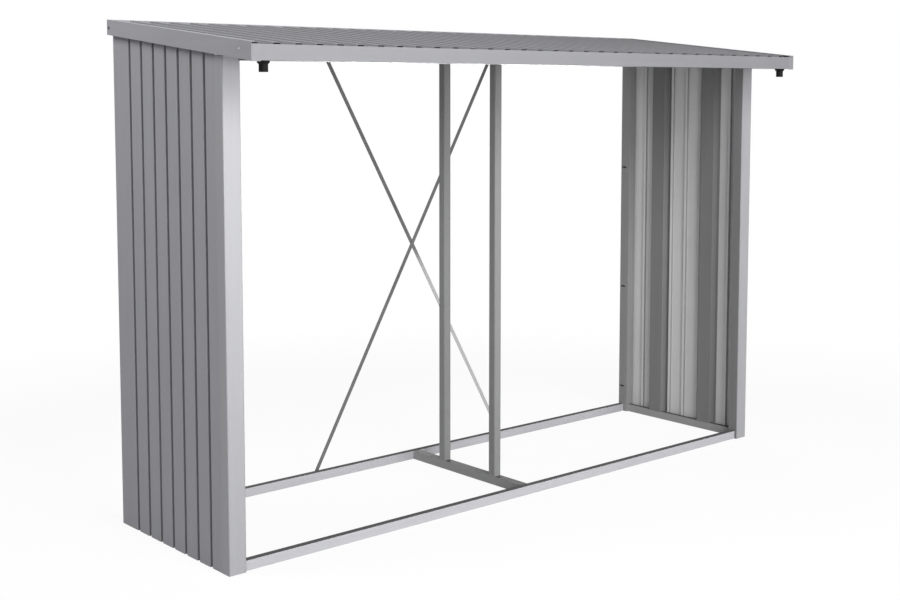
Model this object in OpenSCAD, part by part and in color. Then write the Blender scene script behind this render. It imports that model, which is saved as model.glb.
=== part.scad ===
// Metal log store: an open steel frame with two bays, grooved side walls and
// a trapezoidal sheet roof that falls to a gutter along the front.
// Millimetres, +Z up, front towards -Y, origin under the middle of the whole box.

/* [Overall] */
// width of the roof from side to side
roof_w = 3020; // [1600:10:3600]
// depth of the roof from gutter face to rear trim
roof_d = 1020; // [850:10:1400]
// height of the rear edge of the roof
height = 1990; // [1500:10:2400]
// fall of the roof from its rear edge to its front edge
roof_fall = 110; // [60:1:160]
// roof past each side wall
side_over = 22; // [12:1:60]
// roof past the front posts
front_over = 220; // [150:1:280]
// roof past the rear frame
rear_over = 4; // [3:0.5:30]
// thickness of every folded sheet
sheet = 2; // [1:0.1:2.5]

/* [Base] */
// height of the sills
sill_h = 38; // [25:1:60]
// depth of the front and rear sills
sill_d = 30; // [20:1:40]
// width of the side sills
side_sill_w = 24; // [16:1:40]
// front sill behind the face of the front posts
sill_back = 11; // [4:0.5:15]

/* [Posts] */
// width of a front post
post_w = 72; // [55:1:100]
// depth of a front post
post_d = 47; // [42:1:70]
// width of a rear post
rear_post_w = 50; // [46:1:70]
// depth of a rear post
rear_post_d = 56; // [40:1:80]
// height of the lower slot in a rear post
slot_low = 135; // [80:5:300]
// height of the middle slot
slot_mid = 675; // [400:5:900]
// height of the upper slot
slot_high = 1310; // [1000:5:1350]
// length of a slot
slot_l = 30; // [10:1:34]
// height of a slot
slot_h = 8; // [4:0.5:12]
// side of the square middle posts
mid_w = 38; // [25:1:50]
// distance between the centres of the middle posts
mid_gap = 334; // [200:1:420]
// bend radius on the edges of the front and middle posts
post_r = 4; // [2.5:0.5:4]

/* [Side walls] */
// distance from groove to groove
groove_pitch = 90.6; // [80:0.1:105]
// width of a groove at the outer face
groove_w = 17; // [12:0.5:20]
// width of the floor of a groove
groove_floor = 9; // [5:0.5:11]
// depth of a groove
groove_h = 12; // [6:0.5:16]
// width of the inner face of an upright
upright_w = 80; // [60:1:88]
// inner face of an upright behind the outer face of its wall
upright_d = 40; // [28:1:44]
// width of each foot of an upright
upright_foot = 12; // [6:1:15]

/* [Roof] */
// distance from rib to rib
rib_pitch = 88.5; // [70:0.5:120]
// centre of the first rib inside the left edge of the roof
rib_in = 24; // [16:1:26]
// width of a rib at its foot
rib_w = 45; // [36:1:55]
// width of a rib at its top
rib_top = 25; // [15:1:30]
// height of a rib
rib_h = 18; // [10:1:24]
// front edge of the roof sheet behind the gutter face
sheet_back = 20; // [15:1:30]
// height of the rafters and beams
rafter_h = 45; // [30:1:48]
// width of a side rafter
rafter_w = 30; // [20:1:40]
// height of a verge trim at the rear
verge_rear = 58.5; // [45:0.5:80]
// height of a verge trim at the front
verge_front = 64; // [62:0.5:90]
// width of the lip along the top of a verge trim
verge_lip = 26; // [15:1:35]

/* [Gutter] */
// height of the gutter face
gutter_h = 55; // [40:1:60]
// depth of the gutter
gutter_d = 83; // [70:1:110]
// width of the folded lip on the gutter face
gutter_lip = 10; // [5:0.5:12]
// depth of a gutter end cap
cap_d = 45; // [30:1:70]
// width of the front flange of a gutter end cap
cap_w = 37; // [25:1:60]
// end cap below the floor of the gutter
cap_drop = 3; // [2:0.5:8]
// outer radius of a drain spout
spout_r = 16; // [10:0.5:18]
// wall of a drain spout
spout_wall = 3; // [1.5:0.5:4]
// radius of the collar of a drain spout
spout_collar_r = 22; // [20:0.5:28]
// thickness of the collar
spout_collar_h = 6; // [3:0.5:8]
// height of the taper under the collar
spout_taper = 6; // [3:0.5:10]
// length of a drain spout below the gutter
spout_len = 38; // [30:1:60]
// centre of a drain spout inside the side of the roof
spout_in = 66; // [60:1:140]

/* [Bracing] */
// width of a brace strip
brace_w = 18; // [12:1:22]
// thickness of a brace strip
brace_t = 1.5; // [1:0.1:2]
// radius of the packers behind the ends of one brace
packer_r = 7; // [4:0.5:8]
// lower ends of the braces either side of the middle
brace_low = 560; // [300:1:640]
// upper ends of the braces either side of the middle
brace_high = 528; // [300:1:640]

/* [Hidden] */
$fn = 48;

silver = [0.66, 0.67, 0.68];
frame_grey = [0.55, 0.56, 0.57];
black = [0.05, 0.05, 0.05];
eps = 0.1;

body_x = roof_w / 2 - side_over;           // outer face of the side walls
front_y = -roof_d / 2 + front_over;        // face of the front posts
rear_y = roof_d / 2 - rear_over;           // rear face of the rear posts
frame_y = rear_y - 2 * brace_t;            // rear face of the rear sill and beam
wall_y0 = front_y + post_d;
wall_y1 = rear_y - rear_post_d;
wall_mid = (wall_y0 + wall_y1) / 2;

slope = roof_fall / roof_d;
pitch = atan(slope);
function z_top(y) = height - slope * (roof_d / 2 - y);
lip_t = sheet / cos(pitch);
pan_drop = (rib_h + 2 * sheet) / cos(pitch);
rafter_drop = pan_drop + rafter_h;
function z_pan(y) = z_top(y) - pan_drop;
function z_rafter(y) = z_top(y) - rafter_drop;
function z_skirt(y) = height - verge_rear
    - (roof_fall + verge_front - verge_rear) * (roof_d / 2 - y) / roof_d;

groove_n = floor((wall_y1 - wall_y0 - 30) / groove_pitch);
groove_in = groove_h + sheet;              // inner face of the groove floors
upright_y = 1.75 * groove_pitch;

rib_n = floor((roof_w - rib_in - verge_lip - rib_w / 2) / rib_pitch) + 1;
lap = floor((rib_n - 1) / 3);              // ribs from one side lap to the next
edge_x = roof_w / 2 - sheet;               // inner face of the verge trims

gut_y0 = -roof_d / 2 + sheet;
gut_y1 = gut_y0 + gutter_d;
gut_z = height - roof_fall - verge_front + sheet;

// One trapezoidal fold as a run of points, moved out by off so that two runs
// make a sheet of even thickness.
function fold_lean(w, top, h) = tan(atan2(h, (w - top) / 2) / 2);
function fold(c, w, top, h, off) = let (k = off * fold_lean(w, top, h))
    [[c - w / 2 - k, off], [c - top / 2 - k, h + off],
     [c + top / 2 + k, h + off], [c + w / 2 + k, off]];
function run(list) = [for (part = list) for (p = part) p];
function back(list) = [for (i = [len(list) - 1:-1:0]) list[i]];

// A prism along X from points in the Y Z plane.
module along_x(x0, x1, points)
    translate([x0, 0, 0]) rotate([90, 0, 90]) linear_extrude(x1 - x0) polygon(points);

// The right half is drawn, and the left half is its mirror image.
module side(s) { if (s < 0) mirror([1, 0, 0]) children(); else children(); }

// Four sided outline between two depths below the top of the roof.
function band(y0, y1, low, high) = [[y0, z_top(y0) - low], [y1, z_top(y1) - low],
    [y1, z_top(y1) - high], [y0, z_top(y0) - high]];

module box_tube_x(x0, x1, y0, y1)
    difference() {
        translate([x0, y0, 0]) cube([x1 - x0, y1 - y0, sill_h]);
        translate([x0 - eps, y0 + sheet, sheet])
            cube([x1 - x0 + 2 * eps, y1 - y0 - 2 * sheet, sill_h - 2 * sheet]);
    }

module box_tube_y(x0, x1, y0, y1)
    difference() {
        translate([x0, y0, 0]) cube([x1 - x0, y1 - y0, sill_h]);
        translate([x0 + sheet, y0 - eps, sheet])
            cube([x1 - x0 - 2 * sheet, y1 - y0 + 2 * eps, sill_h - 2 * sheet]);
    }

// What a bend of radius r takes off a sharp edge that runs up from the origin.
module bend_cut(r)
    difference() {
        translate([-eps, -eps, -eps]) cube([r + eps, r + eps, height + 2 * eps]);
        translate([r, r, -2 * eps]) cylinder(r = r, h = height + 4 * eps);
    }

// An upright bar with a bend on its named edges: [0, 0] is at x0, y0 and [1, 1] at x1, y1.
module bar(x0, x1, y0, y1, z0, r, edges)
    difference() {
        translate([x0, y0, z0]) cube([x1 - x0, y1 - y0, height]);
        for (e = edges) translate([e[0] * (x1 - x0) + x0, e[1] * (y1 - y0) + y0, z0])
            mirror([e[0], 0, 0]) mirror([0, e[1], 0]) bend_cut(r);
    }

// A folded post with a closed foot whose top is cut to the slope of the rafters.
module post(x0, x1, y0, y1, z0, edges)
    difference() {
        intersection() {
            bar(x0, x1, y0, y1, z0, post_r, edges);
            along_x(x0, x1, [[y0, z0], [y1, z0], [y1, z_rafter(y1)], [y0, z_rafter(y0)]]);
        }
        bar(x0 + sheet, x1 - sheet, y0 + sheet, y1 - sheet, z0 + sheet, post_r - sheet, edges);
    }

module front_post(s) color(silver) side(s)
    post(body_x - post_w, body_x, front_y, wall_y0, 0, [[0, 0], [1, 0]]);

module rear_post(s) color(frame_grey) side(s)
    difference() {
        post(body_x - rear_post_w, body_x - sheet, wall_y1, rear_y, 0, []);
        for (z = [slot_low, slot_mid, slot_high])
            translate([body_x - rear_post_w - eps, rear_y - 2 * sheet - slot_l, z - slot_h / 2])
                cube([sheet + 2 * eps, slot_l, slot_h]);
    }

module mid_post(y) color(frame_grey)
    post(-mid_w / 2, mid_w / 2, y - mid_w / 2, y + mid_w / 2, sill_h,
        [[0, 0], [1, 0], [0, 1], [1, 1]]);

module front_sill() color(silver)
    box_tube_x(post_w - body_x, body_x - post_w, front_y + sill_back, front_y + sill_back + sill_d);

module rear_sill() color(silver)
    box_tube_x(rear_post_w - body_x, body_x - rear_post_w, frame_y - sill_d, frame_y);

module side_sill(s) color(frame_grey) side(s)
    box_tube_y(body_x - groove_in - side_sill_w, body_x - groove_in, wall_y0, wall_y1);

module mid_sill() color(frame_grey)
    box_tube_y(-mid_w / 2, mid_w / 2, front_y + sill_back + sill_d, frame_y - sill_d);

// Outline of a grooved wall: along Y, with the fold depth turned inwards.
function wall_run(off) = run([for (i = [0:groove_n - 1])
    fold(wall_mid + (i - (groove_n - 1) / 2) * groove_pitch, groove_w, groove_floor, groove_h, off)]);

module wall_sheet(s) color(silver) side(s)
    intersection() {
        translate([body_x, 0, 0]) rotate([0, 0, 90]) linear_extrude(height)
            polygon(run([[[wall_y0, 0]], wall_run(0), [[rear_y, 0], [rear_y, sheet]],
                back(wall_run(sheet)), [[wall_y0, sheet]]]));
        along_x(0, roof_w, [[wall_y0 - eps, 0], [rear_y + eps, 0],
            [rear_y + eps, z_pan(rear_y + eps)], [wall_y0 - eps, z_pan(wall_y0 - eps)]]);
    }

// Hat section behind a wall, open towards the sheet.
module upright(s, c) color(frame_grey) side(s)
    let (a = upright_w / 2, f = a + upright_foot, d = upright_d)
    intersection() {
        translate([body_x, 0, 0]) rotate([0, 0, 90]) linear_extrude(height)
            polygon([[c - f, sheet], [c - a + sheet, sheet], [c - a + sheet, d - sheet],
                [c + a - sheet, d - sheet], [c + a - sheet, sheet], [c + f, sheet],
                [c + f, 2 * sheet], [c + a, 2 * sheet], [c + a, d],
                [c - a, d], [c - a, 2 * sheet], [c - f, 2 * sheet]]);
        along_x(0, roof_w, [[wall_y0, sill_h], [wall_y1, sill_h],
            [wall_y1, z_rafter(wall_y1)], [wall_y0, z_rafter(wall_y0)]]);
    }

module beam(y0) color(frame_grey)
    let (x = body_x - groove_in - rafter_w, y1 = y0 + sill_d)
    difference() {
        along_x(-x, x, band(y0, y1, rafter_drop, pan_drop));
        along_x(-x - eps, x + eps, band(y0 + sheet, y1 - sheet, rafter_drop - lip_t, pan_drop + lip_t));
    }

// Channel over the posts and wall uprights, open towards the wall.
module rafter(s) color(frame_grey) side(s)
    let (x = body_x - groove_in)
    difference() {
        along_x(x - rafter_w, x, band(gut_y1, rear_y, rafter_drop, pan_drop));
        along_x(x - rafter_w + sheet, x + eps,
            band(gut_y1 - eps, rear_y + eps, rafter_drop - lip_t, pan_drop + lip_t));
    }

module mid_rafter() color(frame_grey)
    let (y0 = front_y + sill_back + sill_d, y1 = frame_y - sill_d)
    difference() {
        along_x(-mid_w / 2, mid_w / 2, band(y0, y1, rafter_drop, pan_drop));
        along_x(sheet - mid_w / 2, mid_w / 2 - sheet,
            band(y0 - eps, y1 + eps, rafter_drop - lip_t, pan_drop + lip_t));
    }

// Rib i of the roof: 0 starts under the left verge trim, the last one ends at the right trim.
function rib(i, off) = fold(rib_in - roof_w / 2 + i * rib_pitch, rib_w, rib_top, rib_h, off);
rib_run = (rib_w - rib_top) / 2 * sheet / rib_h;  // run of a rib's flank over one sheet of height

// The last rib of a panel fits under the first rib of the next one, which ends on its pan.
function lap_face(i) = let (r = rib(i, 0))
    [r[0] + [rib_run, sheet], r[1], r[2], r[3] + [-rib_run, sheet]];
function lap_back(i) = let (r = rib(i, -sheet))
    [r[0] + [rib_run, sheet], r[1], r[2], r[3] + [-2 * rib_run, 2 * sheet]];

// The lower and the upper side of the first and last ribs of a panel.
function first_low(i) = i == 0 ? [[-edge_x, rib_h], rib(i, 0)[2], rib(i, 0)[3]]
    : [lap_face(i)[0], rib(i, 0)[1], rib(i, 0)[2], rib(i, 0)[3]];
function first_high(i) = i == 0 ? [[-edge_x, rib_h + sheet], rib(i, sheet)[2], rib(i, sheet)[3]]
    : rib(i, sheet);
function last_low(i) = i < rib_n - 1 ? lap_back(i) : run([rib(i, 0), [[edge_x, 0]]]);
function last_high(i) = i < rib_n - 1 ? lap_face(i) : run([rib(i, sheet),
    [[edge_x - sheet, sheet], [edge_x - sheet, rib_h + sheet], [edge_x, rib_h + sheet]]]);

// Ribs i0 to i1 of the roof as one folded panel.
module roof_panel(i0, i1) color(silver)
    let (y0 = -roof_d / 2 + sheet_back, y1 = roof_d / 2 - sheet,
        ribs = function(off) run([for (i = [i0 + 1:i1 - 1]) rib(i, off)]))
    translate([0, y1, z_pan(y1)]) rotate([90 + pitch, 0, 0]) linear_extrude((y1 - y0) / cos(pitch))
        polygon(run([first_low(i0), ribs(0), last_low(i1),
            back(run([first_high(i0), ribs(sheet), last_high(i1)]))]));

module verge(s) color(silver) side(s)
    let (y0 = -roof_d / 2 + cap_d, y1 = roof_d / 2)
    union() {
        along_x(edge_x, roof_w / 2,
            [[y0, z_skirt(y0)], [y1, z_skirt(y1)], [y1, z_top(y1)], [y0, z_top(y0)]]);
        along_x(roof_w / 2 - verge_lip, roof_w / 2, band(y0, y1 - sheet, lip_t, 0));
    }

// Plain strip that closes the ribs at the rear.
module rear_trim() color(silver)
    let (y1 = roof_d / 2, y0 = y1 - sheet, z0 = height - verge_rear)
    along_x(-edge_x, edge_x, [[y0, z0], [y1, z0], [y1, z_top(y1)], [y0, z_top(y0)]]);

module gutter() color(silver)
    let (z1 = gut_z + gutter_h, b = gut_y1 - sheet, c = gut_y0 + sheet)
    difference() {
        along_x(-edge_x, edge_x, [[gut_y0, gut_z], [gut_y1, gut_z], [gut_y1, z_pan(gut_y1)],
            [b, z_pan(b)], [b, gut_z + sheet], [c, gut_z + sheet], [c, z1 - sheet],
            [gut_y0 + gutter_lip, z1 - sheet], [gut_y0 + gutter_lip, z1], [gut_y0, z1]]);
        for (s = [-1, 1]) side(s) spout_place()
            translate([0, 0, -eps]) cylinder(r = spout_r, h = sheet + 2 * eps);
    }

module gutter_end(s) color(silver) side(s)
    let (y0 = -roof_d / 2, y1 = y0 + cap_d, z0 = gut_z - cap_drop)
    union() {
        along_x(edge_x, roof_w / 2, [[y0, z0], [y1, z_skirt(y1)], [y1, z_top(y1)], [y0, z_top(y0)]]);
        translate([roof_w / 2 - cap_w, y0, z0]) cube([cap_w, sheet, gutter_h + cap_drop]);
        along_x(roof_w / 2 - verge_lip, roof_w / 2, band(y0 + sheet_back, y1, lip_t, 0));
    }

module spout_place() translate([roof_w / 2 - spout_in, gut_y0 + spout_collar_r + 6, gut_z]) children();

module spout(s) color(black) side(s) spout_place()
    let (bore = spout_r - spout_wall, c = -spout_collar_h)
    rotate_extrude() polygon([[bore, -spout_len], [spout_r, -spout_len], [spout_r, c - spout_taper],
        [spout_collar_r, c], [spout_collar_r, 0], [spout_r, 0], [spout_r, sheet], [bore, sheet]]);

// Flat strip across the rear; the falling one lies behind and has a packer at each end.
module brace(s, y) color(silver) side(s)
    let (z0 = sill_h / 2, z1 = (z_rafter(frame_y) + z_pan(frame_y)) / 2, rise = z1 - z0,
        across = brace_low + brace_high, a = atan2(rise, across), l = norm([rise, across]))
    union() {
        translate([-brace_low, y, z0]) rotate([0, -a, 0])
            translate([-brace_w / 2, 0, -brace_w / 2]) cube([l + brace_w, brace_t, brace_w]);
        if (y > frame_y) for (e = [[-brace_low, z0], [brace_high, z1]])
            translate([e[0], frame_y, e[1]]) rotate([-90, 0, 0]) cylinder(r = packer_r, h = brace_t);
    }

front_sill();
rear_sill();
side_sill(-1);  // left_sill
side_sill(1);  // right_sill
mid_sill();
front_post(-1);  // front_post_left
front_post(1);  // front_post_right
rear_post(-1);  // rear_post_left
rear_post(1);  // rear_post_right
mid_post(wall_mid - mid_gap / 2);  // mid_post_front
mid_post(wall_mid + mid_gap / 2);  // mid_post_rear
wall_sheet(-1);  // left_wall_sheet
wall_sheet(1);  // right_wall_sheet
upright(-1, wall_mid - upright_y);  // left_upright_front
upright(-1, wall_mid + upright_y);  // left_upright_rear
upright(1, wall_mid - upright_y);  // right_upright_front
upright(1, wall_mid + upright_y);  // right_upright_rear
beam(front_y + sill_back);  // front_beam
beam(frame_y - sill_d);  // rear_beam
rafter(-1);  // left_rafter
rafter(1);  // right_rafter
mid_rafter();
roof_panel(0, lap);  // roof_sheet_left
roof_panel(lap, 2 * lap);  // roof_sheet_mid
roof_panel(2 * lap, rib_n - 1);  // roof_sheet_right
verge(-1);  // verge_left
verge(1);  // verge_right
rear_trim();
gutter();
gutter_end(-1);  // gutter_end_left
gutter_end(1);  // gutter_end_right
spout(-1);  // spout_left
spout(1);  // spout_right
brace(1, frame_y);  // brace_rising
brace(-1, frame_y + brace_t);  // brace_falling
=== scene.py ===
# %% [markdown]
# # An open metal log store
# Two bays under one lean-to roof: folded steel posts and sills, grooved side
# walls, a trapezoidal roof that falls to a gutter, and two flat braces across
# the open back. The CAD frame already holds every main shape, so this lesson is
# about what turns grey solids into coated steel: light, finishes, softened
# folds and the small screws. Everything is in metres, front towards -Y.

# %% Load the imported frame
import math

import bpy
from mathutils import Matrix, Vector


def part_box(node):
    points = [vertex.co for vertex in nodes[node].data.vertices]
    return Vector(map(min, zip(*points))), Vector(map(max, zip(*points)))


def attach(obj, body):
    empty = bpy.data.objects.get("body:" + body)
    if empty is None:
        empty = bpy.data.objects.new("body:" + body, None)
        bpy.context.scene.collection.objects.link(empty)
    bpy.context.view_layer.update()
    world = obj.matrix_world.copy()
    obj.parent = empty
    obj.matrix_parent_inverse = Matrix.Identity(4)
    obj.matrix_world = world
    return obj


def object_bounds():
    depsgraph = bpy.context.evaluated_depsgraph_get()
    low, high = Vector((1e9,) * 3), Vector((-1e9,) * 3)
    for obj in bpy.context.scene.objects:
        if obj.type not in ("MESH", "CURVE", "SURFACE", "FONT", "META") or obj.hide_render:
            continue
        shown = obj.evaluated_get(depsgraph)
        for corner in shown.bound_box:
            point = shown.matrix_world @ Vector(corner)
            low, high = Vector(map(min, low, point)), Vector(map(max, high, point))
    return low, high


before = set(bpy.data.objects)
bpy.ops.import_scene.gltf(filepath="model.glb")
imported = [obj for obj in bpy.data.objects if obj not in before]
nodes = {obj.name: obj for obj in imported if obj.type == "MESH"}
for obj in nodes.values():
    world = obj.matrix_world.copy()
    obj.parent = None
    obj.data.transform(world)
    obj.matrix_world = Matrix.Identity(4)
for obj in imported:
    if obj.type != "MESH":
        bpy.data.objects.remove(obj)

cad_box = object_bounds()
scene = bpy.context.scene
scene.view_settings.view_transform = "Standard"
print(len(nodes), "CAD nodes, box", [[round(v, 3) for v in corner] for corner in cad_box])

# %% [markdown]
# ## Camera
# The photograph was taken from the left, a little under roof height, with the
# uprights parallel. A level camera with a strong lens shift would give exactly
# that, but the shift would also cut the roof off in other views. So the camera
# looks five degrees down and shifts only a little.

# %% Camera
LENS_MM, SENSOR_MM, LENS_SHIFT = 54.162, 36, -0.103
EYE = (-3.9507, -4.3308, 1.7239)
LOOK_DOWN, LOOK_ROUND = math.radians(5), -0.7133

lens = bpy.data.cameras.new("portrait_camera")
lens.lens, lens.sensor_width, lens.shift_y = LENS_MM, SENSOR_MM, LENS_SHIFT
camera = bpy.data.objects.new("portrait_camera", lens)
camera.location = EYE
camera.rotation_euler = (math.pi / 2 - LOOK_DOWN, 0, LOOK_ROUND)
scene.collection.objects.link(camera)
scene.camera = camera
print("camera", LENS_MM, "mm at", EYE)

# %% [markdown]
# ## Writing shaders as sums
# A finish is mostly arithmetic: a little noise here, a mask there. `Wire` wraps
# one socket, and Python's own operators on it add Math nodes. `Graph.node` makes
# any other node from its type, its settings and the values of its sockets. The
# same class writes the Geometry Nodes further down.

# %% Wire and Graph
class Wire:
    """A number on its way through a node tree."""

    def __init__(self, graph, socket):
        self.graph, self.socket = graph, socket

    def maths(self, operation, first, second):
        sockets = {0: first, 1: second}
        return self.graph.node("ShaderNodeMath", {"operation": operation}, sockets)["Value"]

    def __add__(self, other):
        return self.maths("ADD", self, other)

    def __sub__(self, other):
        return self.maths("SUBTRACT", self, other)

    def __rsub__(self, other):
        return self.maths("SUBTRACT", other, self)

    def __mul__(self, other):
        return self.maths("MULTIPLY", self, other)

    __radd__, __rmul__ = __add__, __mul__


class Graph:
    """A node tree that is written line by line."""

    def __init__(self, tree):
        self.tree = tree
        self.tree.nodes.clear()

    def node(self, kind, settings={}, sockets={}):
        """A new node. Its outputs come back by identifier and by name."""
        made = self.tree.nodes.new(kind)
        for name, value in settings.items():
            setattr(made, name, value)
        for key, value in sockets.items():
            if isinstance(key, int):
                socket = made.inputs[key]
            else:
                socket = next(s for s in made.inputs
                              if key in (s.identifier, s.name) and s.enabled)
            wires = value if isinstance(value, list) else [value]
            if isinstance(wires[0], Wire):
                for wire in wires:
                    self.tree.links.new(wire.socket, socket)
            else:
                socket.default_value = value
        outputs = {s.identifier: Wire(self, s) for s in made.outputs}
        outputs.update({s.name: Wire(self, s) for s in made.outputs if s.enabled})
        return outputs

    def place(self):
        """Where a point lies on its piece."""
        return self.node("ShaderNodeTexCoord")["Object"]

    def part(self, vector, axis):
        """A vector's X, Y or Z."""
        return self.node("ShaderNodeSeparateXYZ", {}, {"Vector": vector})[axis]

    def noise(self, grains, detail):
        """Noise with this many grains to the metre along X, Y and Z."""
        scaled = self.node("ShaderNodeMapping", {}, {"Vector": self.place(), "Scale": grains})
        sockets = {"Vector": scaled["Vector"], "Scale": 1.0, "Detail": detail}
        return self.node("ShaderNodeTexNoise", {}, sockets)["Fac"]

    def between(self, factor, first, second):
        """A colour between two colours."""
        sockets = {"Factor_Float": factor, "A_Color": first, "B_Color": second}
        return self.node("ShaderNodeMix", {"data_type": "RGBA"}, sockets)["Result_Color"]

    def ramp(self, value, low, high):
        """0 below low, 1 above high and smooth in between."""
        settings = {"interpolation_type": "SMOOTHSTEP"}
        sockets = {"Value": value, "From Min": low, "From Max": high}
        return self.node("ShaderNodeMapRange", settings, sockets)["Result"]

    def bumps(self, height, strength, distance):
        """A normal that follows small heights."""
        sockets = {"Height": height, "Strength": strength, "Distance": distance}
        return self.node("ShaderNodeBump", {}, sockets)["Normal"]

    def surface(self, sockets):
        """The shader that ends a finish."""
        shader = self.node("ShaderNodeBsdfPrincipled", {}, sockets)["BSDF"]
        self.node("ShaderNodeOutputMaterial", {}, {"Surface": shader})


def grey(level, blue=0.0):
    """A neutral colour, or one with a little more blue."""
    return (level, level, level * (1 + blue), 1.0)


def painted(name):
    """A new material and the graph that draws it."""
    material = bpy.data.materials.new(name)
    material.use_nodes = True
    return material, Graph(material.node_tree)


print("shader helpers ready")

# %% [markdown]
# ## Coated steel
# Roll-formed steel has a direction: the coil's streaks run along each piece.
# On top come a fine sparkle of metal flakes, a soft cloudiness where the coat is
# thicker, and the orange peel that every baked coat has. The first three noises
# tint the colour by a few parts in a hundred and also move the roughness, because
# a coat with one even gloss looks like plastic. The peel and a few wide, shallow
# dents go into the bump.

# %% Finish: coated steel
STREAK = {"x": (1.2, 60, 60), "y": (60, 1.2, 60), "z": (60, 60, 1.2)}
FLAKE, CLOUD, PEEL, DENT = (900,) * 3, (5,) * 3, (260,) * 3, (7,) * 3
PLAIN, MIXED, RICH = 1.0, 2.0, 3.0
DARKER, PALER = 0.93, 1.07
STREAK_TINT, FLAKE_TINT, CLOUD_TINT = 0.8, 0.9, 0.7
STREAK_ROUGH, FLAKE_ROUGH, CLOUD_ROUGH = 0.1, 0.1, 0.16
PEEL_H, DENT_H, STEEL_BUMP, STEEL_DEPTH = 0.06, 0.2, 0.35, 0.0012


def coat(paint, tint, level, blue):
    """A colour that goes from darker to paler with the tint."""
    return paint.between(tint, grey(level * DARKER, blue), grey(level * PALER, blue))


def coated_steel(name, level, along, blue=0.08, rough=0.45, shine=0.05, others=()):
    """others: where each further coat shows, its level and its blue."""
    material, paint = painted(name)
    streak = paint.noise(STREAK[along], RICH) - 0.5
    flake = paint.noise(FLAKE, PLAIN) - 0.5
    cloud = paint.noise(CLOUD, RICH) - 0.5
    tint = 0.5 + streak * STREAK_TINT + flake * FLAKE_TINT + cloud * CLOUD_TINT
    colour = coat(paint, tint, level, blue)
    for where, other_level, other_blue in others:
        other = coat(paint, tint, other_level, other_blue)
        colour = paint.between(where(paint), colour, other)
    roughness = rough + cloud * CLOUD_ROUGH + streak * STREAK_ROUGH + flake * FLAKE_ROUGH
    height = paint.noise(PEEL, PLAIN) * PEEL_H + paint.noise(DENT, PLAIN) * DENT_H
    paint.surface({
        "Base Color": colour, "Roughness": roughness, "Metallic": shine,
        "Specular IOR Level": shine, "Normal": paint.bumps(height, STEEL_BUMP, STEEL_DEPTH)})
    return material


roof_coat = coated_steel("roof_coat", 0.235, "y", blue=0.06)
verge_coat = coated_steel("verge_coat", 0.42, "y")
trim_coat = coated_steel("trim_coat", 0.40, "x")
gutter_coat = coated_steel("gutter_coat", 0.25, "x", blue=0.06, shine=0.12)
print("four shades of silver coat")

# %% [markdown]
# ## Frame profiles
# The inner frame is folded from thicker strip with a plainer, greyer coat: less
# blue, less sparkle to see and a matt surface. The hat sections on the walls
# are the darkest of them.

# %% Finish: frame profiles
MATT = {"blue": 0.01, "rough": 0.52, "shine": 0.01}

profile = {along: coated_steel("profile_" + along, 0.32, along, **MATT) for along in "xy"}
rear_post_coat = coated_steel("rear_post_coat", 0.31, "z", blue=0.01, rough=0.52, shine=0.02)
upright_coat = coated_steel("upright_coat", 0.25, "z", blue=0.01, rough=0.55, shine=0.02)
print("profiles:", [m.name for m in profile.values()], rear_post_coat.name, upright_coat.name)

# %% [markdown]
# ## Several coats, and painted shade, on one sheet
# A coil-coated sheet has its good coat outside and a thin backing coat inside,
# which makes the walls paler inside. One sheet is one solid here, so the finish
# asks each point which way it faces. The same test paints shade: the sides of the
# front posts that face into the store, the flanks of the wall's grooves, the tops
# of all sills and the fronts of the middle posts are painted darker. The end caps
# use the same trick: their flange matches the gutter and their side the verge.

# %% Finish: sheets with several coats
INWARDS, FORWARDS = (0.1, 0.5), (0.3, 0.7)
EDGEWAYS, UPWARDS = (0.6, 0.85), (0.5, 0.9)


def turned(paint, axis):
    """How far a face looks along an axis."""
    return paint.part(paint.node("ShaderNodeNewGeometry")["Normal"], axis)


def inwards(paint):
    """1 on faces towards the middle of the store."""
    side = paint.part(paint.place(), "X")
    return paint.ramp(side * turned(paint, "X") * -1, *INWARDS)


def forwards(paint):
    """1 on faces towards the front."""
    return paint.ramp(turned(paint, "Y") * -1, *FORWARDS)


def edgeways(paint):
    """1 on faces to the front or rear, such as the flanks of the wall's grooves."""
    along = turned(paint, "Y")
    return paint.ramp(along * along, *EDGEWAYS)


def upwards(paint):
    """1 on faces towards the sky."""
    return paint.ramp(turned(paint, "Z"), *UPWARDS)


# Painted shade: the tops of the sills are painted darker than their sides.
sill_coat = coated_steel(
    "sill_coat", 0.49, "x", blue=0.05, shine=0.0, others=[(upwards, 0.13, 0.02)])
cross_sill_coat = coated_steel(
    "cross_sill_coat", 0.38, "y", **MATT, others=[(upwards, 0.11, 0.02)])
# The paler inside is the backing coat; the darker flanks of the grooves are painted shade.
wall_coat = coated_steel(
    "wall_coat", 0.42, "z", others=[(inwards, 0.70, 0.0), (edgeways, 0.33, 0.04)])
# Painted shade: the sides of the front posts that face into the store are painted darker.
post_coat = coated_steel(
    "post_coat", 0.37, "z", blue=0.05, shine=0.20, others=[(inwards, 0.22, 0.02)])
# Painted shade: the fronts of the middle posts are painted darker than their sides.
mid_post_coat = coated_steel(
    "mid_post_coat", 0.33, "z", **MATT, others=[(forwards, 0.26, 0.01)])
cap_coat = coated_steel("cap_coat", 0.42, "y", others=[(forwards, 0.27, 0.06)])
print("made", sill_coat.name, cross_sill_coat.name, wall_coat.name)
print("made", post_coat.name, mid_post_coat.name, cap_coat.name)

# %% [markdown]
# ## Black plastic
# The spouts are moulded in black plastic, which is never quite black: a fine
# spark texture from the mould scatters some light.

# %% Finish: black plastic
SPARK, HAZE = (700,) * 3, (40,) * 3
SOOT, COAL = grey(0.004), grey(0.010)
PLASTIC_ROUGH, HAZE_ROUGH, PLASTIC_GLOSS = 0.55, 0.2, 0.12
PLASTIC_BUMP, PLASTIC_DEPTH = 0.25, 0.0004


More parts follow.
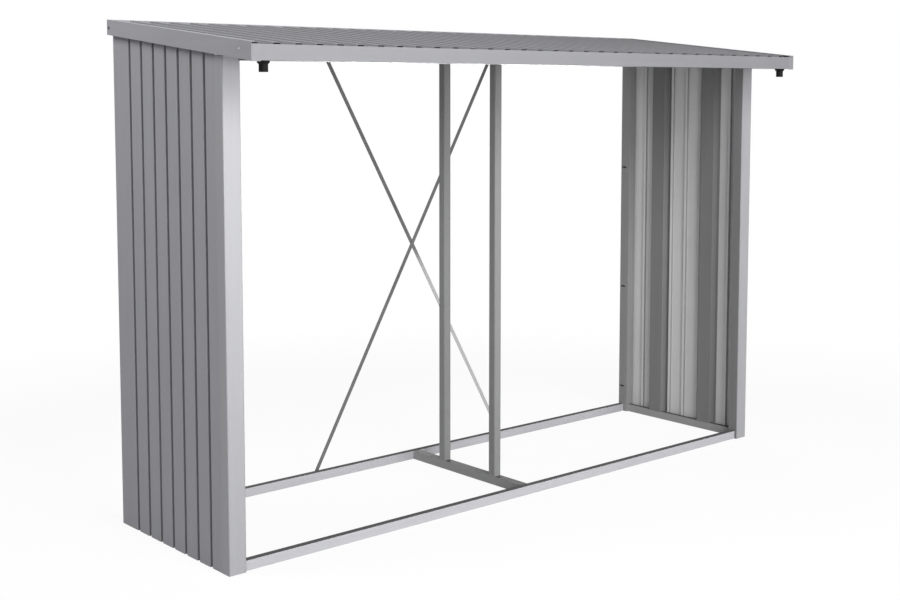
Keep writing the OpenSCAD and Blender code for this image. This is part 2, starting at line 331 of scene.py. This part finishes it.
def moulded_plastic(name):
    material, paint = painted(name)
    spark = paint.noise(SPARK, MIXED)
    haze = paint.noise(HAZE, MIXED)
    paint.surface({
        "Base Color": paint.between(haze, SOOT, COAL),
        "Roughness": PLASTIC_ROUGH + haze * HAZE_ROUGH, "Specular IOR Level": PLASTIC_GLOSS,
        "Normal": paint.bumps(spark, PLASTIC_BUMP, PLASTIC_DEPTH)})
    return material


spout_black = moulded_plastic("spout_black")
print("made", spout_black.name)

# %% [markdown]
# ## Zinc
# Screws and braces are zinc plated, so they are real metal, with a cloudy
# pattern of crystals. The lower end of the falling brace is painted brighter, a
# painted highlight for the light off that strip: the last argument of `plated_zinc` says
# how many times brighter the lower end is, and between which heights one turns into the
# other.

# %% Finish: zinc
CRYSTALS, STAIN, ZINC_METAL = 160.0, (25,) * 3, 0.7
CRYSTAL_ROUGH, STAIN_ROUGH = 0.12, 0.08


def plated_zinc(name, level, rough, painted_sheen=(1.0, 0.0, 1.0)):
    brighter, sheen_low, sheen_high = painted_sheen
    material, paint = painted(name)
    place = paint.place()
    cells = paint.node("ShaderNodeTexVoronoi", {}, {"Vector": place, "Scale": CRYSTALS})
    crystal = paint.part(cells["Color"], "X")
    stain = paint.noise(STAIN, RICH)
    upper = paint.ramp(paint.part(place, "Z"), sheen_low, sheen_high)
    mixture = crystal * 0.5 + stain * 0.5
    plain = paint.between(mixture, grey(level * 0.85, 0.03), grey(level * 1.15, 0.02))
    # Painted highlight: the lower end gets a brighter copy of the zinc colour.
    sheen_colour = paint.between(mixture, grey(level * brighter * 0.9), grey(level * brighter))
    paint.surface({
        "Base Color": paint.between(upper, sheen_colour, plain), "Metallic": ZINC_METAL,
        "Roughness": rough + crystal * CRYSTAL_ROUGH + stain * STAIN_ROUGH})
    return material


screw_zinc = plated_zinc("screw_zinc", 0.34, 0.34)
# Painted shade: a darker copy of the screw zinc, for the rear verge screws.
shaded_screw_zinc = plated_zinc("shaded_screw_zinc", 0.10, 0.40)
brace_zinc = plated_zinc("brace_zinc", 0.16, 0.50)
# Painted highlight: the falling brace is painted three times brighter below about 0.88 m.
sheen_painted_zinc = plated_zinc("sheen_painted_zinc", 0.16, 0.50, painted_sheen=(3.0, 0.88, 1.00))
print("made", screw_zinc.name, shaded_screw_zinc.name, brace_zinc.name, sheen_painted_zinc.name)

# %% [markdown]
# ## Dressing the CAD nodes
# Each node gets the finish of its real piece, with the coil's streaks along it.

# %% Give every node its finish
FINISH = {
    "front_sill": sill_coat, "rear_sill": sill_coat, "mid_sill": cross_sill_coat,
    "left_sill": cross_sill_coat, "right_sill": cross_sill_coat,
    "front_post_left": post_coat, "front_post_right": post_coat,
    "rear_post_left": rear_post_coat, "rear_post_right": rear_post_coat,
    "mid_post_front": mid_post_coat, "mid_post_rear": mid_post_coat,
    "left_wall_sheet": wall_coat, "right_wall_sheet": wall_coat,
    "left_upright_front": upright_coat, "left_upright_rear": upright_coat,
    "right_upright_front": upright_coat, "right_upright_rear": upright_coat,
    "front_beam": profile["x"], "rear_beam": profile["x"],
    "left_rafter": profile["y"], "right_rafter": profile["y"], "mid_rafter": profile["y"],
    "roof_sheet_left": roof_coat, "roof_sheet_mid": roof_coat, "roof_sheet_right": roof_coat,
    "verge_left": verge_coat, "verge_right": verge_coat, "rear_trim": trim_coat,
    "gutter": gutter_coat, "gutter_end_left": cap_coat, "gutter_end_right": cap_coat,
    "spout_left": spout_black, "spout_right": spout_black,
    "brace_rising": brace_zinc, "brace_falling": sheen_painted_zinc,
}
for name, piece in nodes.items():
    piece.material_slots[0].material = FINISH[name]
print(len(FINISH), "nodes dressed, none left over:", set(FINISH) == set(nodes))

# %% [markdown]
# ## Softened folds
# No folded edge is a razor. A Weld modifier joins the corners of the CAD faces
# and a narrow Bevel rounds them, so that every fold catches a thin line of
# light. The CAD mesh itself stays as it is. The moulded spouts and the flat
# braces have no folds.

# %% Soften the folds
FOLD_R, FOLD_STEPS, FOLD_ANGLE = 0.0009, 2, math.radians(30)
WELD_GAP = 1e-5


def soften(piece):
    weld = piece.modifiers.new("join_corners", "WELD")
    weld.merge_threshold = WELD_GAP
    bevel = piece.modifiers.new("soft_folds", "BEVEL")
    bevel.width, bevel.segments = FOLD_R, FOLD_STEPS
    bevel.limit_method, bevel.angle_limit = "ANGLE", FOLD_ANGLE


for name, piece in nodes.items():
    if not name.startswith(("spout", "brace")):
        soften(piece)
print("folds rounded by", FOLD_R * 1000, "mm")

# %% [markdown]
# ## Screws
# The sheets are held by self-drilling screws: a hexagon head on a washer. A
# screw is drawn once, in Geometry Nodes, and set on a mesh of loose points that
# says where each screw sits and which way it faces. That keeps the places in
# plain Python and the shape in one small tree with named inputs.

# %% A screw as Geometry Nodes
WASHER_SIDES, WASHER_TAPER, HEAD_TAPER = 20, 0.86, 0.82


def screw_tree():
    tree = bpy.data.node_groups.new("screws_on_points", "GeometryNodeTree")
    inputs = {"Points": "Geometry", "Washer Radius": "Float", "Washer Height": "Float",
              "Head Radius": "Float", "Head Height": "Float", "Head Sides": "Int",
              "Finish": "Material"}
    for label, kind in inputs.items():
        tree.interface.new_socket(label, in_out="INPUT", socket_type="NodeSocket" + kind)
    tree.interface.new_socket("Screws", in_out="OUTPUT", socket_type="NodeSocketGeometry")
    graph = Graph(tree)
    given = graph.node("NodeGroupInput")
    washer = graph.node("GeometryNodeMeshCone", {}, {
        "Vertices": WASHER_SIDES, "Radius Bottom": given["Washer Radius"],
        "Radius Top": given["Washer Radius"] * WASHER_TAPER, "Depth": given["Washer Height"]})
    head = graph.node("GeometryNodeMeshCone", {}, {
        "Vertices": given["Head Sides"], "Radius Bottom": given["Head Radius"],
        "Radius Top": given["Head Radius"] * HEAD_TAPER, "Depth": given["Head Height"]})
    screw = graph.node("GeometryNodeJoinGeometry", {}, {
        "Geometry": [washer["Mesh"], head["Mesh"]]})
    facing = graph.node("GeometryNodeInputNamedAttribute", {"data_type": "FLOAT_VECTOR"}, {
        "Name": "facing"})
    upright = graph.node("FunctionNodeAlignRotationToVector", {"axis": "Z"}, {
        "Vector": facing["Attribute"]})
    placed = graph.node("GeometryNodeInstanceOnPoints", {}, {
        "Points": given["Points"], "Instance": screw["Geometry"],
        "Rotation": upright["Rotation"]})
    real = graph.node("GeometryNodeRealizeInstances", {}, {"Geometry": placed["Instances"]})
    plated = graph.node("GeometryNodeSetMaterial", {}, {
        "Geometry": real["Geometry"], "Material": given["Finish"]})
    graph.node("NodeGroupOutput", {}, {"Screws": plated["Geometry"]})
    return tree


SCREWS = screw_tree()
print("tree", SCREWS.name, "with", len(SCREWS.nodes), "nodes")

# %% [markdown]
# `set_screws` fills the point mesh, sets the modifier's inputs by their socket
# identifiers, takes the evaluated mesh as a plain one and rides it on the body.

# %% Setting screws
HEX = {"Washer Radius": 0.0075, "Washer Height": 0.0016,
       "Head Radius": 0.0048, "Head Height": 0.0062, "Head Sides": 6}
PAN = {"Washer Radius": 0.0060, "Washer Height": 0.0020,
       "Head Radius": 0.0042, "Head Height": 0.0034, "Head Sides": 16}


def set_screws(name, places, shape, finish):
    """places: (point, facing) pairs in metres."""
    mesh = bpy.data.meshes.new(name)
    mesh.from_pydata([point for point, facing in places], [], [])
    facings = mesh.attributes.new("facing", "FLOAT_VECTOR", "POINT")
    for item, (point, facing) in zip(facings.data, places):
        item.vector = facing
    piece = bpy.data.objects.new(name, mesh)
    scene.collection.objects.link(piece)
    modifier = piece.modifiers.new("screws", "NODES")
    modifier.node_group = SCREWS
    values = {**shape, "Finish": finish}
    for socket in SCREWS.interface.items_tree:
        if socket.name in values:
            modifier[socket.identifier] = values[socket.name]
    evaluated = piece.evaluated_get(bpy.context.evaluated_depsgraph_get())
    made = bpy.data.meshes.new_from_object(evaluated)
    piece.modifiers.remove(modifier)
    piece.data = made
    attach(piece, "root")
    print(name, len(places), "screws,", len(made.polygons), "faces")


# %% [markdown]
# ## Where the screws go
# Roof screws sit in every third pan, over the front and rear beams, where water
# runs past them and a head can press the sheet on the frame. The rear trim is
# held from behind, the verges near their ends, and the braces at their ends and
# where they cross.

# %% Screws of the roof
RIB_PITCH, FIRST_RIB, RIB_H, SHEET = 0.0885, 0.024, 0.018, 0.002
ROOF_FALL, SCREW_STEP, REAR_ROW = 0.110, 3, 0.004
low, high = cad_box
slope = ROOF_FALL / (high.y - low.y)
roof_up = Vector((0, -slope, 1)).normalized()


def rib_x(i):
    return low.x + FIRST_RIB + i * RIB_PITCH


def roof_top(y):
    return high.z - slope * (high.y - y)


def middle(name):
    a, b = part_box(name)
    return (a + b) / 2


rib_count = int((high.x - rib_x(0)) / RIB_PITCH)
pan_z = (RIB_H + SHEET) / roof_up.z
rows = [middle("front_beam").y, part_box("rear_beam")[0].y + REAR_ROW]
pan_places = [((rib_x(i + 0.5), y, roof_top(y) - pan_z), roof_up)
              for y in rows for i in range(1, rib_count, SCREW_STEP)]
set_screws("roof_screws", pan_places, HEX, screw_zinc)

# %% Screws of the trims
VERGE_DROP, VERGE_IN = 0.031, 0.016
BACKWARDS = (0, 1, 0)
trim_z = middle("rear_trim").z
trim_places = [((rib_x(i), high.y, trim_z), BACKWARDS)
               for i in range(2, rib_count, SCREW_STEP)]
set_screws("rear_trim_screws", trim_places, PAN, screw_zinc)


def verge_screws(name, y, finish):
    places = [((x, y, roof_top(y) - VERGE_DROP), (math.copysign(1, x), 0, 0))
              for x in (low.x, high.x)]
    set_screws(name, places, PAN, finish)


# The rear verge screws get the painted-shade copy of the zinc.
verge_screws("verge_screws_rear", high.y - VERGE_IN, shaded_screw_zinc)
verge_screws("verge_screws_front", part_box("verge_left")[0].y + 2 * VERGE_IN, screw_zinc)

# %% Bolts of the braces
BRACE_LOW, BRACE_HIGH = 0.560, 0.528
foot, head = middle("rear_sill").z, middle("rear_beam").z
crossing = foot + (head - foot) * BRACE_LOW / (BRACE_LOW + BRACE_HIGH)


def brace_bolts(name, lean, heights):
    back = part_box(name)[1].y
    places = {foot: -lean * BRACE_LOW, head: lean * BRACE_HIGH, crossing: 0}
    bolts = [((places[z], back, z), BACKWARDS) for z in heights]
    set_screws(name + "_bolts", bolts, HEX, screw_zinc)


brace_bolts("brace_rising", 1, (foot, head))
brace_bolts("brace_falling", -1, (foot, crossing, head))

# %% [markdown]
# ## Floor and world
# The photograph has no visible ground, only white. The floor and the world are
# white where the camera or a reflection looks at them, and the floor still
# shows a little of the shadow that the store casts.

# %% Floor and world
FLOOR_SIZE, FLOOR_GAP = 40, 0.001
FLOOR_LIT, FLOOR_SEEN, WHITE = grey(0.45), grey(0.95), grey(1.0)
SHADOW, SHADOW_NEAR, SHADOW_FAR = 0.09, 2.2, 4.5
WORLD_FILL = 0.11


def looked_at(paint):
    """1 for camera, glossy and transmission rays."""
    path = paint.node("ShaderNodeLightPath")
    rays = path["Is Camera Ray"] + path["Is Glossy Ray"] + path["Is Transmission Ray"]
    return paint.node("ShaderNodeClamp", {}, {"Value": rays})["Result"]


def studio_white():
    material, paint = painted("studio_white")
    seen = looked_at(paint)
    away = paint.node("ShaderNodeVectorMath", {"operation": "LENGTH"}, {0: paint.place()})
    keep = SHADOW * (1 - paint.ramp(away["Value"], SHADOW_NEAR, SHADOW_FAR))
    pale = paint.between(seen, FLOOR_LIT, FLOOR_SEEN)
    lit = paint.node("ShaderNodeBsdfDiffuse", {}, {"Color": pale})["BSDF"]
    white = paint.node("ShaderNodeEmission", {}, {"Color": WHITE})["Emission"]
    mixed = paint.node("ShaderNodeMixShader", {}, {0: seen * (1 - keep), 1: lit, 2: white})
    paint.node("ShaderNodeOutputMaterial", {}, {"Surface": mixed["Shader"]})
    return material


def studio_floor(size):
    mesh = bpy.data.meshes.new("studio_floor")
    corners = [(-size, -size, 0), (size, -size, 0), (size, size, 0), (-size, size, 0)]
    mesh.from_pydata(corners, [], [(0, 1, 2, 3)])
    mesh.materials.append(studio_white())
    floor = bpy.data.objects.new("studio_floor", mesh)
    floor.location.z = low.z - FLOOR_GAP
    scene.collection.objects.link(floor)


def studio_world(fill):
    world = bpy.data.worlds.new("studio_world")
    scene.world, world.use_nodes = world, True
    paint = Graph(world.node_tree)
    strength = fill + looked_at(paint) * (1 - fill)
    sky = paint.node("ShaderNodeBackground", {}, {"Color": WHITE, "Strength": strength})
    paint.node("ShaderNodeOutputWorld", {}, {"Surface": sky["Background"]})


studio_floor(FLOOR_SIZE)
studio_world(WORLD_FILL)
print("white floor and world")

# %% [markdown]
# ## Lamps
# The main soft box stands high in front, so that the roof keeps the tops of the
# middle posts and of the inside of the walls dark, and they grow paler on the
# way down. A low one to the right is there for its gloss on the left post. A
# near one, in line with the left wall, shines past that wall on the inside of
# the right one. One over the left wall comes a little from behind, which leaves
# the grooves dark, and one behind, to the right, is for the sides that the
# photograph hides. Each row gives a lamp's place, the point it looks at, its
# width and height, and its watts.

# %% Lamps
LAMPS = {
    "high_lamp": ((-0.9, -6.2, 6.0), (0, 0, 1.0), (3.2, 3.5), 375),
    "gloss_lamp": ((1.7, -5.4, 1.3), (-0.6, -0.3, 1.0), (2.4, 2.6), 100),
    "near_lamp": ((-1.6, -4.0, 1.8), (0.6, 0, 1.0), (1.6, 3.0), 88),
    "left_lamp": ((-4.2, 1.2, 4.5), (-1.5, 0.1, 1.0), (2.4, 2.4), 103),
    "side_lamp": ((4.4, 5.2, 1.0), (0, 0.3, 1.0), (2.6, 1.6), 220),
}


def soft_lamp(name, place, target, size, watts):
    light = bpy.data.lights.new(name, "AREA")
    light.shape, light.energy = "RECTANGLE", watts
    light.size, light.size_y = size
    lamp = bpy.data.objects.new(name, light)
    lamp.location = place
    aim = Vector(target) - Vector(place)
    lamp.rotation_euler = aim.to_track_quat("-Z", "Y").to_euler()
    scene.collection.objects.link(lamp)


for name, setting in LAMPS.items():
    soft_lamp(name, *setting)
print(len(LAMPS), "lamps")
